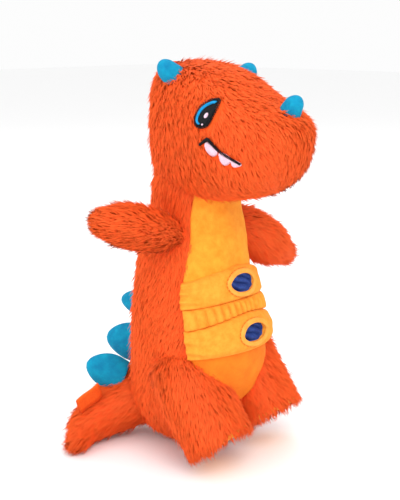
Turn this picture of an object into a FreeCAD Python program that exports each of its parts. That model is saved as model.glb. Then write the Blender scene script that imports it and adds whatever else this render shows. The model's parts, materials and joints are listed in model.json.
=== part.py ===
"""A plush dinosaur: stuffed skins, a belly panel with two pockets, sewn-on horns and spikes.

Frame: +Z up, the snout points along -Y, its right side is -X. The origin is on the surface it
stands on, below the middle of the torso. Lengths are in millimetres.
"""

import FreeCAD, Part
import math
import os

os.makedirs("parts", exist_ok=True)

Vector = FreeCAD.Vector
Rotation = FreeCAD.Rotation
Placement = FreeCAD.Placement

doc = FreeCAD.newDocument("plush_dinosaur")
dims = doc.addObject("Spreadsheet::Sheet", "dims")

DRIVING = {
    "torso_width": 104.0,
    "torso_depth": 108.0,
    "torso_top": 178.0,
    "neck_radius": 33.0,
    "neck_height": 172.0,
    "neck_back": 2.0,
    "head_width": 92.0,
    "head_height": 102.0,
    "head_length": 139.0,
    "head_middle": 239.0,
    "head_back": 33.0,
    "skin": 2.0,
    "seam_gap": 0.3,
    "joint_gap": 1.0,
    "arm_gap": 2.5,
    "hip_gap": 5.0,
    "tail_gap": 3.0,
    "band_rise": 4.5,
    "strip_rise": 2.2,
    "ring_rise": 6.0,
    "upper_band_low": 120.0,
    "upper_band_high": 147.0,
    "lower_band_low": 86.0,
    "lower_band_high": 112.0,
    "opening_width": 22.0,
    "opening_height": 13.0,
    "ring_width": 2.8,
    "pocket_depth": 20.0,
    "lining": 0.8,
    "arm_radius": 15.0,
    "leg_radius": 26.5,
    "leg_spread": 32.0,
    "leg_slope": 53.0,
    "hip_height": 60.0,
    "hip_forward": 16.0,
    "leg_length": 53.0,
    "sole": 2.0,
    "tail_radius": 27.0,
    "horn_length": 15.0,
    "horn_radius": 8.5,
    "spike_thickness": 9.0,
    "thread": 0.9,
    "label_thickness": 0.8,
    "label_width": 22.0,
    "label_height": 16.0,
}

for row, (alias, number) in enumerate(DRIVING.items(), start=1):
    dims.set(f"A{row}", alias)
    dims.set(f"B{row}", str(number))
    dims.setAlias(f"B{row}", alias)
doc.recompute()


def size(alias):
    """A driving dimension, as a number."""
    return float(dims.get(alias))


def bind(thing, **expressions):
    """Binds properties to expressions on the sheet; a double underscore stands for a dot."""
    for name, expression in expressions.items():
        thing.setExpression(name.replace("__", "."), expression)
    return thing


def operation(kind, name, **properties):
    """A Part object with its properties set."""
    thing = doc.addObject(f"Part::{kind}", name)
    for key, setting in properties.items():
        setattr(thing, key, setting)
    return thing


def pushed(name, edge, way, **properties):
    """A closed edge made solid along a way."""
    return operation(
        "Extrusion", name, Base=edge, DirMode="Custom", Dir=way, Solid=True, **properties
    )


def cut(name, base, tool):
    return operation("Cut", name, Base=base, Tool=tool)


def common(name, base, tool):
    return operation("Common", name, Base=base, Tool=tool)


def fuse(name, shapes):
    return operation("MultiFuse", name, Shapes=shapes)


# Lofted forms -------------------------------------------------------------------------------


def oval(name, place, turn, major, minor):
    """A closed oval. major and minor are expressions; place and turn put it in space."""
    ellipse = doc.addObject("Part::Ellipse", name)
    ellipse.Placement = Placement(place, turn)
    return bind(ellipse, MajorRadius=major, MinorRadius=minor)


def loft(name, sections):
    return operation("Loft", name, Sections=sections, Solid=True, Ruled=False)


# Each torso station: height as a share of torso_top, half width and half depth as shares of
# torso_width and torso_depth, and how far back its middle lies.
TORSO_STATIONS = [
    (0.0, 0.20, 0.21, 14.0),
    (0.03, 0.29, 0.30, 14.0),
    (0.10, 0.39, 0.39, 10.0),
    (0.22, 0.47, 0.47, 3.0),
    (0.39, 0.49, 0.50, -2.0),
    (0.56, 0.47, 0.49, -3.0),
    (0.76, 0.43, 0.44, -1.0),
    (0.92, 0.365, 0.36, 1.0),
    (1.0, 0.31, 0.30, 2.0),
    (1.07, 0.255, 0.246, 2.0),
    (1.12, 0.175, 0.169, 2.0),
    (1.15, 0.06, 0.058, 2.0),
]


def torso_form(name, grow, lift="0"):
    """The torso's outer form, moved outwards by grow, an expression; lift raises its flat base."""
    sections = []
    for index, (height, width, depth, back) in enumerate(TORSO_STATIONS):
        section = oval(
            f"{name}_{index}",
            Vector(0, back, 0),
            Rotation(Vector(0, 0, 1), 90),
            f"{depth} * dims.torso_depth + {grow}",
            f"{width} * dims.torso_width + {grow}",
        )
        level = f"{height} * dims.torso_top"
        if index == 0:
            level = lift
        if index == len(TORSO_STATIONS) - 1:
            level = f"{level} + {grow}"
        sections.append(bind(section, Placement__Base__z=level))
    return loft(name, sections)


# Each head station, from the back to the snout: share of head_length, height of its middle above
# head_middle, half height as a share of head_height, half width as a share of head_width.
HEAD_STATIONS = [
    (0.0, -2.0, 0.17, 0.12),
    (0.04, -1.0, 0.34, 0.24),
    (0.12, 0.0, 0.45, 0.35),
    (0.25, 0.0, 0.49, 0.44),
    (0.42, 0.0, 0.50, 0.49),
    (0.58, -1.5, 0.45, 0.48),
    (0.72, -3.0, 0.39, 0.42),
    (0.85, -4.0, 0.32, 0.34),
    (0.95, -3.0, 0.22, 0.23),
    (1.0, -2.0, 0.10, 0.10),
]


def head_form(name, grow):
    """The head's outer form, moved outwards by grow."""
    sections = []
    for index, (along, rise, height, width) in enumerate(HEAD_STATIONS):
        section = oval(
            f"{name}_{index}",
            Vector(0, 0, 0),
            Rotation(Vector(0, 0, 1), Vector(1, 0, 0), Vector(0, 1, 0), "ZXY"),
            f"{height} * dims.head_height + {grow}",
            f"{width} * dims.head_width + {grow}",
        )
        end = 0
        if index == 0:
            end = 1
        if index == len(HEAD_STATIONS) - 1:
            end = -1
        bind(
            section,
            Placement__Base__y=f"dims.head_back - {along} * dims.head_length + {end} * ({grow})",
            Placement__Base__z=f"dims.head_middle + {rise}",
        )
        sections.append(section)
    return loft(name, sections)


# A round end is three rings of a ball: how far out each lies, as a share of the ball's radius.
CAP_SHARES = [0.97, 0.8, 0.45]


def ring(name, middle, way, ahead, radius, share):
    """A circle across a limb; share of the radius narrows it, as a ball does, and moves it ahead."""
    circle = doc.addObject("Part::Circle", name)
    level = Vector(0, 0, 1).cross(way).normalize()
    circle.Placement = Placement(middle, Rotation(level, way.cross(level), way, "ZXY"))
    move = f"{ahead * share} * ({radius})"
    return bind(
        circle,
        Radius=f"{math.sqrt(1 - share * share)} * ({radius})",
        Placement__Base__x=f"{middle.x} + {way.x} * {move}",
        Placement__Base__y=f"{middle.y} + {way.y} * {move}",
        Placement__Base__z=f"{middle.z} + {way.z} * {move}",
    )


def limb_form(name, stations, grow, round_end=True):
    """A stuffed limb: round sections along its stations, with a round root and a round or flat tip."""
    sections = []
    last = len(stations) - 1
    for index, (middle, radius) in enumerate(stations):
        before = stations[max(index - 1, 0)][0]
        after = stations[min(index + 1, last)][0]
        way = (after - before).normalize()
        girth = f"{radius} + {grow}"
        if index == 0:
            for step, share in enumerate(CAP_SHARES):
                sections.append(ring(f"{name}_root_{step}", middle, way, -1, girth, share))
        sections.append(ring(f"{name}_{index}", middle, way, 0, girth, 0))
        if index == last and round_end:
            for step, share in enumerate(reversed(CAP_SHARES)):
                sections.append(ring(f"{name}_tip_{step}", middle, way, 1, girth, share))
    return loft(name, sections)


# Limbs --------------------------------------------------------------------------------------

ARM_SHARES = [1.0, 1.08, 1.12, 0.88]
RIGHT_ARM = [Vector(-41, -3, 171), Vector(-58, -3, 175), Vector(-76, -2, 180), Vector(-91, -2, 184)]
LEFT_ARM = [Vector(41, -5, 168), Vector(56, -9, 160), Vector(73, -15, 149), Vector(88, -19, 140)]
LEG_SHARES = [0.94, 1.0, 0.97]
TAIL_SHARES = [0.9, 0.84, 0.68, 0.44]
TAIL = [Vector(-14, 42, 36), Vector(-38, 54, 29), Vector(-60, 55, 21), Vector(-80, 50, 12.1)]


def scaled_stations(middles, shares, radius):
    return [(middle, f"{share} * dims.{radius}") for middle, share in zip(middles, shares)]


def leg_stations(side):
    """The leg on one side: from the hip ball forward and down to its flat sole."""
    slope = math.radians(size("leg_slope"))
    hip = Vector(side * size("leg_spread"), -size("hip_forward"), size("hip_height"))
    along = Vector(0, -math.cos(slope), -math.sin(slope))
    length = size("leg_length")
    middles = [hip + along * (length * share) for share in (0, 0.5, 1)]
    return scaled_stations(middles, LEG_SHARES, "leg_radius")


arm_stations = {
    "right": scaled_stations(RIGHT_ARM, ARM_SHARES, "arm_radius"),
    "left": scaled_stations(LEFT_ARM, ARM_SHARES, "arm_radius"),
}
tail_stations = scaled_stations(TAIL, TAIL_SHARES, "tail_radius")
sides = {"right": -1, "left": 1}

parts = {}


def stuffed(name, stations, round_end=True):
    """A limb's skin, and the filling that it holds."""
    outer = limb_form(f"{name}_outer", stations, "0", round_end)
    inner = limb_form(f"{name}_inner", stations, "-dims.skin", round_end)
    filling = limb_form(f"{name}_filling", stations, "-dims.skin - dims.seam_gap", round_end)
    parts[f"{name}_skin"] = cut(f"{name}_shell", outer, inner)
    parts[f"{name}_fill"] = filling


spaces = []
for side in sides:
    stuffed(f"{side}_arm", arm_stations[side])
    spaces.append(limb_form(f"{side}_arm_space", arm_stations[side], "dims.arm_gap"))

for side, sign in sides.items():
    stations = leg_stations(sign)
    hip, end = stations[0][0], stations[-1][0]
    along = (end - hip).normalize()
    stuffed(f"{side}_leg", stations, round_end=False)
    sole = doc.addObject("Part::Cylinder", f"{side}_sole_disc")
    bind(sole, Radius=f"{LEG_SHARES[-1]} * dims.leg_radius", Height="dims.sole")
    sole.Placement = Placement(end, Rotation(Vector(0, 0, 1), along))
    parts[f"{side}_sole"] = sole
    spaces.append(limb_form(f"{side}_leg_space", stations, "dims.hip_gap"))

stuffed("tail", tail_stations)
spaces.append(limb_form("tail_space", tail_stations, "dims.tail_gap"))
limb_space = fuse("limb_space", spaces)

# Torso --------------------------------------------------------------------------------------

torso_outer = torso_form("torso_outer", "0")
torso_inner = torso_form("torso_inner", "-dims.skin", "dims.skin")
torso_filling = torso_form("torso_filling", "-dims.skin - dims.seam_gap", "dims.skin + dims.seam_gap")
torso_shell = cut("torso_shell", torso_outer, torso_inner)

# The belly panel's edge on one side, from under the chin to its point between the legs.
PANEL_EDGE = [
    (0, 198), (26, 198), (30, 166), (38, 135), (41, 118), (43, 83), (38, 66), (20, 50), (0, 44),
]
PANEL_FRONT = 95.0  # well in front of the belly
OPENING_REACH = "70"  # from there to inside the belly


def front_block(name, outline):
    """An outline in the XZ plane, made solid from the torso's middle forwards."""
    edge = doc.addObject("Part::Polygon", f"{name}_edge")
    edge.Nodes = [Vector(x, 0, z) for x, z in outline]
    edge.Close = True
    return pushed(name, edge, Vector(0, -1, 0), LengthFwd=PANEL_FRONT)


other_edge = [(-x, z) for x, z in reversed(PANEL_EDGE[1:-1])]
panel_block = front_block("panel_block", PANEL_EDGE + other_edge)


def opening_block(name, height, grow, start, depth):
    """An oval bar along Y that makes an opening in the belly, grown by an expression."""
    edge = oval(
        f"{name}_edge",
        Vector(0, start, 0),
        Rotation(Vector(1, 0, 0), 90),
        f"dims.opening_width / 2 + {grow}",
        f"dims.opening_height / 2 + {grow}",
    )
    bind(edge, Placement__Base__z=height)
    return bind(pushed(name, edge, Vector(0, 1, 0)), LengthFwd=depth)


# Each pocket band, and where the front of the belly lies behind its opening.
BANDS = {"upper": -48.5, "lower": -54.0}
MOUTH_ROOM = 5.0  # a pocket's hollow starts this far in front of its bag


def band_middle(band):
    """The height of a band's opening, as an expression."""
    return f"(dims.{band}_band_low + dims.{band}_band_high) / 2"


openings = [
    opening_block(f"{band}_opening", band_middle(band), "0", -PANEL_FRONT, OPENING_REACH)
    for band in BANDS
]

belly_front = common("belly_front", torso_shell, panel_block)
parts["belly_panel"] = cut("belly_panel_shape", belly_front, fuse("belly_holes", openings + [limb_space]))
skin_sides = cut("skin_sides", torso_shell, panel_block)
parts["torso_skin"] = cut("torso_skin_shape", skin_sides, limb_space)


def proud_layer(name, rise):
    """The layer that lies on the belly panel up to a height above it."""
    layer = cut(f"{name}_layer", torso_form(f"{name}_puffed", rise), torso_outer)
    return common(name, layer, panel_block)


SLAB_REACH = 150.0  # past the torso on every side


def strip(name, layer, low, high):
    """The part of a layer between two heights, given as expressions."""
    slab = doc.addObject("Part::Box", f"{name}_slab")
    slab.Length = 2 * SLAB_REACH
    slab.Width = 2 * SLAB_REACH
    slab.Placement.Base = Vector(-SLAB_REACH, -SLAB_REACH, 0)
    bind(slab, Height=f"{high} - ({low})", Placement__Base__z=low)
    return common(name, layer, slab)


pocket_cores = []
band_layer = proud_layer("band_layer", "dims.band_rise")
hem_layer = proud_layer("hem_layer", "dims.ring_rise")
ruched_layer = proud_layer("ruched_layer", "dims.strip_rise")

for band, front in BANDS.items():
    middle = band_middle(band)
    band_strip = strip(
        f"{band}_strip", band_layer, f"dims.{band}_band_low", f"dims.{band}_band_high"
    )
    hem_bar = opening_block(
        f"{band}_hem_bar", middle, "dims.ring_width", -PANEL_FRONT, OPENING_REACH
    )
    parts[f"{band}_pocket_band"] = cut(f"{band}_band_shape", band_strip, hem_bar)
    hem = common(f"{band}_hem", hem_layer, hem_bar)
    inside = opening_block(f"{band}_hem_inside", middle, "0", -PANEL_FRONT, OPENING_REACH)
    parts[f"{band}_opening_ring"] = cut(f"{band}_ring_shape", hem, inside)
    start = front + size("skin") + 2 * size("seam_gap")
    bag = opening_block(f"{band}_bag", middle, "-dims.seam_gap", start, "dims.pocket_depth")
    hollow = opening_block(
        f"{band}_hollow", middle, "-dims.seam_gap - dims.lining", start - MOUTH_ROOM,
        f"dims.pocket_depth + {MOUTH_ROOM} - dims.lining",
    )
    parts[f"{band}_pocket_lining"] = cut(f"{band}_lining_shape", bag, hollow)
    pocket_cores.append(opening_block(
        f"{band}_core", middle, "dims.seam_gap", start - 2 * MOUTH_ROOM,
        f"dims.pocket_depth + dims.seam_gap + {2 * MOUTH_ROOM}",
    ))

parts["ruched_strip"] = strip("ruched_shape", ruched_layer, "dims.lower_band_high", "dims.upper_band_low")
filling_space = fuse("filling_space", [limb_space] + pocket_cores)
parts["torso_fill"] = cut("torso_fill_shape", torso_filling, filling_space)

# Head ---------------------------------------------------------------------------------------

head_outer = head_form("head_outer", "0")
head_inner = head_form("head_inner", "-dims.skin")
head_filling = head_form("head_filling", "-dims.skin - dims.seam_gap")


def neck_ball(name, grow):
    ball = doc.addObject("Part::Sphere", name)
    ball.Placement.Base = Vector(0, size("neck_back"), size("neck_height"))
    return bind(ball, Radius=f"dims.neck_radius + {grow}")


neck_space = neck_ball("neck_space", "dims.joint_gap")
neck_seat = neck_ball("neck_seat", "dims.joint_gap + dims.skin")
head_shell = cut("head_shell", head_outer, head_inner)
parts["head_skin"] = cut("head_skin_shape", head_shell, neck_space)
parts["head_fill"] = cut("head_fill_shape", head_filling, neck_seat)

HORN_TIP = 0.55  # the radius of a horn's round tip, as a share of its base's


def horn(name, base, direction):
    """A small stuffed horn: a cone with a round tip, sewn on top of the skin."""
    along = Vector(*direction).normalize()
    cone = doc.addObject("Part::Cone", f"{name}_cone")
    tip_radius = f"{HORN_TIP} * dims.horn_radius"
    bind(cone, Radius1="dims.horn_radius", Radius2=tip_radius, Height="dims.horn_length")
    cone.Placement = Placement(base, Rotation(Vector(0, 0, 1), along))
    tip = doc.addObject("Part::Sphere", f"{name}_tip")
    bind(tip, Radius=tip_radius)
    tip.Placement.Base = base + along * size("horn_length")
    return cut(f"{name}_shape", fuse(f"{name}_whole", [cone, tip]), head_outer)


for side, sign in sides.items():
    parts[f"{side}_horn"] = horn(f"{side}_horn", Vector(sign * 31, -5, 269), (sign * 0.3, 0.3, 0.9))
parts["nose_horn"] = horn("nose_horn", Vector(0, -85, 256), (0, -0.5, 0.85))

CHEEK_REACH = 80.0  # from the head's middle to past its side
thread_layer = cut("thread_layer", head_form("thread_puffed", "dims.thread"), head_outer)


def stitched(name, outline, sign):
    """Thick embroidery on one cheek: an outline in the YZ plane, laid on the head's surface."""
    edge = doc.addObject("Part::Polygon", f"{name}_edge")
    edge.Nodes = [Vector(0, y, z) for y, z in outline]
    edge.Close = True
    block = pushed(f"{name}_block", edge, Vector(sign, 0, 0), LengthFwd=CHEEK_REACH)
    return common(name, thread_layer, block)


def ellipse_outline(middle, half_width, half_height, tilt, count=14):
    """Points round a tilted oval in the YZ plane."""
    lean = math.radians(tilt)
    points = []
    for index in range(count):
        turn = 2 * math.pi * index / count
        across, up = half_width * math.cos(turn), half_height * math.sin(turn)
        y = middle[0] + across * math.cos(lean) - up * math.sin(lean)
        z = middle[1] + across * math.sin(lean) + up * math.cos(lean)
        points.append((y, z))
    return points


EYE_MIDDLE = (-45.5, 255.3)
EYE_HALF = (8.3, 9.2)
EYE_TILT = 20.0
MOUTH = [
    (-42, 235.9), (-47.7, 239.4), (-56.4, 232.2), (-67.5, 226.8), (-72, 224.8),
    (-72, 223.4), (-67, 225.4), (-56, 230.8), (-47.7, 237.6), (-42.4, 234.4),
]
TEETH = [
    [(-48.3, 236.6), (-48.2, 230.3), (-51.8, 227.7), (-55.2, 229.2), (-55.6, 230.6)],
    [(-57.2, 229.8), (-57.4, 224.8), (-60.5, 222.6), (-64.6, 224.6), (-65.2, 225.9)],
    [(-66.4, 225.3), (-66.6, 221.6), (-69.4, 220.8), (-71.6, 222.2), (-71.8, 223.0)],
]

for side, sign in sides.items():
    eye_outline = ellipse_outline(EYE_MIDDLE, *EYE_HALF, EYE_TILT)
    parts[f"{side}_eye"] = stitched(f"{side}_eye_shape", eye_outline, sign)
    parts[f"{side}_mouth"] = stitched(f"{side}_mouth_shape", MOUTH, sign)
    row = [stitched(f"{side}_tooth_{index}", tooth, sign) for index, tooth in enumerate(TEETH)]
    parts[f"{side}_teeth"] = fuse(f"{side}_teeth_shape", row)

# Back spikes and label ----------------------------------------------------------------------

# A spike's rim: share of its length, and of its width there.
LEAF_RIM = [(0.0, 1.0), (0.4, 0.98), (0.7, 0.8), (0.92, 0.42)]


def leaf(name, base, along, across, length, width, hidden_by):
    """A flat stuffed spike: a leaf outline, made solid across its own plane, without its root."""
    along = Vector(*along).normalize()
    across = Vector(*across).normalize()
    width_way = across.cross(along)
    near_rim = [(share, -half) for share, half in LEAF_RIM]
    far_rim = list(reversed(LEAF_RIM))
    outline = [
        base + along * (length * share) + width_way * (width * half / 2)
        for share, half in near_rim + [(1, 0)] + far_rim
    ]
    thickness = size("spike_thickness")
    edge = doc.addObject("Part::Polygon", f"{name}_edge")
    edge.Nodes = [point - across * (thickness / 2) for point in outline]
    edge.Close = True
    block = bind(pushed(f"{name}_block", edge, across), LengthFwd="dims.spike_thickness")
    return cut(f"{name}_shape", block, hidden_by)


back_cover = torso_form("back_cover", "dims.seam_gap")
parts["back_spike_1"] = leaf(
    "back_spike_1", Vector(0, 40, 104), (0, 1, 0.15), (1, 0, 0), 34, 24, back_cover
)
parts["back_spike_2"] = leaf(
    "back_spike_2", Vector(-8, 42, 78), (-0.35, 1, 0), (1, 0.35, 0), 42, 30, back_cover
)
tail_cover = limb_form("tail_cover", tail_stations, "dims.seam_gap")
parts["back_spike_3"] = leaf(
    "back_spike_3", Vector(-40, 50, 44), (-0.35, 0.35, 0.8), (0.2, 1, -0.3), 30, 26, tail_cover
)
label = doc.addObject("Part::Box", "label_block")
bind(label, Length="dims.label_width", Height="dims.label_height", Width="dims.label_thickness")
label.Placement = Placement(Vector(-78, 52, 24), Rotation(Vector(0, 1, 0), -18))
parts["tail_label"] = cut("tail_label_shape", label, tail_cover)

# Output -------------------------------------------------------------------------------------

doc.recompute()
failed = [thing.Name for thing in doc.Objects if "Invalid" in thing.State or "Error" in thing.State]
if failed:
    raise RuntimeError(f"these did not recompute: {failed}")

for name, thing in parts.items():
    thing.Label = name
    shape = thing.Shape
    if shape.isNull() or not shape.isValid() or not shape.Solids:
        raise RuntimeError(f"{name} has no valid solid")
    print(f"{name}: {len(shape.Solids)} solids, {shape.Volume / 1000:.1f} cm3, valid {shape.isValid()}")
    shape.exportStep(f"parts/{name}.step")
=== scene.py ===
"""The looks of a plush dinosaur: its pelt and fur, belly pockets, horns, spikes and stitching."""

import json
import math

import bpy
import numpy as np
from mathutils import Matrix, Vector
from mathutils.bvhtree import BVHTree
from mathutils.kdtree import KDTree


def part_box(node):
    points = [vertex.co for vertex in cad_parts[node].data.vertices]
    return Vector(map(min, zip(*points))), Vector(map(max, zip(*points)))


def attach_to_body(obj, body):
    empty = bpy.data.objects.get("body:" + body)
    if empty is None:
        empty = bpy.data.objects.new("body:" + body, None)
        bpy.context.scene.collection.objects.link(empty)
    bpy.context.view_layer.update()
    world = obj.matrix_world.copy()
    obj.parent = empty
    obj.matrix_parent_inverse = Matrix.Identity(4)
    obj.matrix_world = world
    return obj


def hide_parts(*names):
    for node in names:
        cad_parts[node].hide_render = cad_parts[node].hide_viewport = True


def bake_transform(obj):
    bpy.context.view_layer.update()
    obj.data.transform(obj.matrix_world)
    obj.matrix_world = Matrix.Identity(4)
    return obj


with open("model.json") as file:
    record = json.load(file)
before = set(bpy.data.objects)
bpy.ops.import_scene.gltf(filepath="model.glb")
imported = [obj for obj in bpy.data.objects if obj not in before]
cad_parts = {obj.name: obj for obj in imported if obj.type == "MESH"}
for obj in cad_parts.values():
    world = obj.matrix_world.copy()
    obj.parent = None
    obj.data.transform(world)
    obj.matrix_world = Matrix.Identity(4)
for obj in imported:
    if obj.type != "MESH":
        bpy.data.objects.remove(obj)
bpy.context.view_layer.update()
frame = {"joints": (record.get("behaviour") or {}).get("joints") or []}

MM = 0.001
JOINT = {joint["name"]: np.array(joint.get("pos_m", (0, 0, 0)), float) for joint in frame["joints"]}
UP = np.array((0.0, 0.0, 1.0))


def seeded(number):
    return np.random.default_rng(number)


def unit(vectors):
    return vectors / np.maximum(np.linalg.norm(vectors, axis=-1, keepdims=True), 1e-12)


# Meshes --------------------------------------------------------------------------------------


def make_object(name, points, faces, material=None, smooth=True):
    """A mesh object from arrays; faces may mix triangles and quads."""
    mesh = bpy.data.meshes.new(name)
    mesh.from_pydata(np.asarray(points).tolist(), [], [list(map(int, face)) for face in faces])
    mesh.update()
    if smooth:
        mesh.shade_smooth()
    if material:
        mesh.materials.append(material)
    thing = bpy.data.objects.new(name, mesh)
    bpy.context.scene.collection.objects.link(thing)
    return thing


def vertex_normals(points, faces):
    mesh = bpy.data.meshes.new("scratch")
    mesh.from_pydata(points.tolist(), [], faces)
    mesh.update()
    normals = np.zeros(len(points) * 3)
    mesh.vertices.foreach_get("normal", normals)
    bpy.data.meshes.remove(mesh)
    return normals.reshape(-1, 3)


def oval_ring(middle, across, up, half_across, half_up, power=2.0, count=48):
    """Points round a superellipse: power 2 is an ellipse, and more is squarer."""
    turn = np.linspace(0, 2 * math.pi, count, endpoint=False)
    c, s = np.cos(turn), np.sin(turn)
    a = np.sign(c) * np.abs(c) ** (2 / power) * half_across
    b = np.sign(s) * np.abs(s) ** (2 / power) * half_up
    return np.asarray(middle) + np.outer(a, across) + np.outer(b, up)


def outward(points, faces):
    """The same closed mesh with its faces turned to look outwards."""
    volume = 0.0
    for face in faces:
        for i in range(1, len(face) - 1):
            volume += np.dot(points[face[0]], np.cross(points[face[i]], points[face[i + 1]]))
    if volume < 0:
        faces = [tuple(reversed(face)) for face in faces]
    return points, faces


def loft(rings):
    """A closed skin through rings of the same count, with a fan at each end."""
    count = len(rings[0])
    points = np.concatenate([*rings, [rings[0].mean(0)], [rings[-1].mean(0)]])
    faces = []
    for row in range(len(rings) - 1):
        for i in range(count):
            j = (i + 1) % count
            faces.append((row * count + i, row * count + j, (row + 1) * count + j, (row + 1) * count + i))
    first, last = len(rings) * count, len(rings) * count + 1
    base = (len(rings) - 1) * count
    for i in range(count):
        j = (i + 1) % count
        faces.append((first, j, i))
        faces.append((last, base + i, base + j))
    return outward(points, faces)


def smooth_rows(rows, count):
    """More rows between the given ones, on a smooth curve (Catmull-Rom) through their numbers."""
    rows = np.array(rows, float)
    padded = np.concatenate([[2 * rows[0] - rows[1]], rows, [2 * rows[-1] - rows[-2]]])
    out = []
    for place in np.linspace(0, len(rows) - 1 - 1e-9, count):
        i = int(place)
        t = place - i
        p0, p1, p2, p3 = padded[i : i + 4]
        out.append(0.5 * (2 * p1 + (p2 - p0) * t + (2 * p0 - 5 * p1 + 4 * p2 - p3) * t * t
                          + (3 * p1 - p0 - 3 * p2 + p3) * t ** 3))
    return np.array(out)


def rope(points, radius, count=8, closed=True):
    """A round cord along a line of points, as mesh arrays."""
    points = np.asarray(points)
    if closed:
        ways = unit(np.roll(points, -1, 0) - np.roll(points, 1, 0))
    else:
        ways = unit(np.gradient(points, axis=0))
    aside = unit(np.cross(ways, UP))
    lift = np.cross(aside, ways)
    turn = np.linspace(0, 2 * math.pi, count, endpoint=False)
    rings = points[:, None] + radius * (np.cos(turn)[None, :, None] * aside[:, None]
                                        + np.sin(turn)[None, :, None] * lift[:, None])
    if not closed:
        return loft(list(rings))
    total = len(points)
    faces = []
    for row in range(total):
        for i in range(count):
            j, after = (i + 1) % count, (row + 1) % total
            faces.append((row * count + i, row * count + j, after * count + j, after * count + i))
    return rings.reshape(-1, 3), faces


def joined(parts):
    """Several meshes' arrays as one."""
    points, faces, start = [], [], 0
    for part_points, part_faces in parts:
        points.append(part_points)
        faces += [tuple(i + start for i in face) for face in part_faces]
        start += len(part_points)
    return np.concatenate(points), faces


# The body's forms ----------------------------------------------------------------------------

PELT_DEPTH = 6.0 * MM  # the pelt's backing lies this far inside the fur's outer surface

head_low, head_high = map(np.array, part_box("head_skin"))
TORSO_HALF = np.array((51.0, 54.0)) * MM

# height (mm), half width and half depth as shares, middle's y (mm), squareness
TORSO_ROWS = [
    (5, 0.30, 0.32, 13, 2.2),
    (9, 0.50, 0.50, 12, 2.3),
    (20, 0.70, 0.71, 10, 2.3),
    (40, 0.90, 0.91, 5, 2.2),
    (69, 1.0, 1.0, -2, 2.1),
    (100, 0.97, 0.99, -1.5, 2.1),
    (135, 0.885, 0.85, 2, 2.1),
    (164, 0.795, 0.75, 1, 2.1),
    (184, 0.70, 0.66, 0, 2.1),
    (205, 0.68, 0.62, -1, 2.1),
    (222, 0.58, 0.52, -2, 2.0),
    (230, 0.3, 0.28, -2, 2.0),
]


def torso_rows(count=60):
    rows = smooth_rows(TORSO_ROWS, count)
    scale = np.array((MM, TORSO_HALF[0], TORSO_HALF[1], MM, 1))
    return rows * scale


def torso_form(inset):
    rings = []
    for height, width, depth, back, power in torso_rows():
        level = max(height, inset)
        middle = (0, back, level)
        rings.append(oval_ring(middle, (1, 0, 0), (0, 1, 0), width - inset, depth - inset, power))
    return loft(rings)


# share of the head's length from the back to the snout, bottom and top as shares of its height,
# half width as a share, squareness
HEAD_ROWS = [
    (0.055, 0.36, 0.80, 0.26, 2.5),
    (0.07, 0.20, 0.93, 0.51, 2.8),
    (0.12, 0.07, 1.0, 0.71, 2.9),
    (0.22, 0.015, 1.015, 0.86, 2.9),
    (0.38, 0.01, 1.0, 0.96, 2.9),
    (0.52, 0.02, 0.935, 1.0, 2.7),
    (0.65, 0.05, 0.84, 0.93, 2.6),
    (0.76, 0.105, 0.765, 0.81, 2.6),
    (0.84, 0.20, 0.72, 0.66, 2.6),
    (0.89, 0.33, 0.675, 0.48, 2.4),
    (0.915, 0.44, 0.62, 0.25, 2.1),
]
HEAD_BOTTOM = 187.0 * MM


def head_form(inset):
    length = head_high[1] - head_low[1]
    height = head_high[2] - HEAD_BOTTOM
    rings = []
    for along, bottom, top, width, power in smooth_rows(HEAD_ROWS, 50):
        y = np.clip(head_high[1] - along * length, head_low[1] + inset, head_high[1] - inset)
        half = (top - bottom) * height / 2
        middle = (0, y, HEAD_BOTTOM + (top + bottom) / 2 * height)
        half_width = max(width * head_high[0] - inset, 1 * MM)
        rings.append(oval_ring(middle, (1, 0, 0), UP, half_width, max(half - inset, 1 * MM), power))
    return loft(rings)


def limb_form(line, radii, wide=1.0, inset=0.0, round_end=True):
    """A limb round a line of points, with radii along it; wide is its width as a share of its height."""
    fine = smooth_rows(np.column_stack([line, np.array(radii) - inset]), 24)
    points, sizes = fine[:, :3], fine[:, 3]
    ways = unit(np.gradient(points, axis=0))
    rings = []

    def add(middle, way, size):
        level = unit(np.cross(UP, way))
        rings.append(oval_ring(middle, level, np.cross(way, level), size * wide, size, 2.1, 32))

    for share in (0.97, 0.8, 0.5):
        add(points[0] - ways[0] * sizes[0] * share, ways[0], sizes[0] * math.sqrt(1 - share ** 2))
    for middle, way, size in zip(points, ways, sizes):
        add(middle, way, size)
    for share in (0.4, 0.7, 0.88, 0.97) if round_end else ():
        add(points[-1] + ways[-1] * sizes[-1] * share, ways[-1], sizes[-1] * math.sqrt(1 - share ** 2))
    return loft(rings)


SIDES = {"right": -1, "left": 1}
ARM_REACH = {"right": [(14, -6, -4), (-6, -5, 1.5), (-28, -1.5, 8), (-46, 1, 12.5)],
             "left": [(-12, 2, 3), (6, -3, -7), (26, -9, -20.5), (39.5, -12, -29)]}
ARM_RADII = {"right": [12, 17.5, 19.5, 15.5], "left": [15, 20.5, 21, 15.5]}
LEG_REACH = {"right": [(3, -1, 6), (3, -15, -14), (5, -31.5, -38)],
             "left": [(3, 0, 7), (2, -13, -13), (3, -29, -35)]}
LEG_RADII = [27, 28.5, 28]
TAIL_REACH = [(0, 0, -4.5), (-24, 12, -14), (-45, 13, -20), (-61.5, 6.5, -25.5)]
TAIL_RADII = [26, 23, 18, 12]


def joint_line(joint, reach):
    return JOINT[joint] + np.array(reach, float) * MM


LINES = {
    "right_arm": (joint_line("right_shoulder", ARM_REACH["right"]), ARM_RADII["right"]),
    "left_arm": (joint_line("left_shoulder", ARM_REACH["left"]), ARM_RADII["left"]),
    "tail": (joint_line("tail_swing", TAIL_REACH), TAIL_RADII),
}
for side in SIDES:
    LINES[f"{side}_leg"] = (joint_line(f"{side}_hip", LEG_REACH[side]), LEG_RADII)


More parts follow.
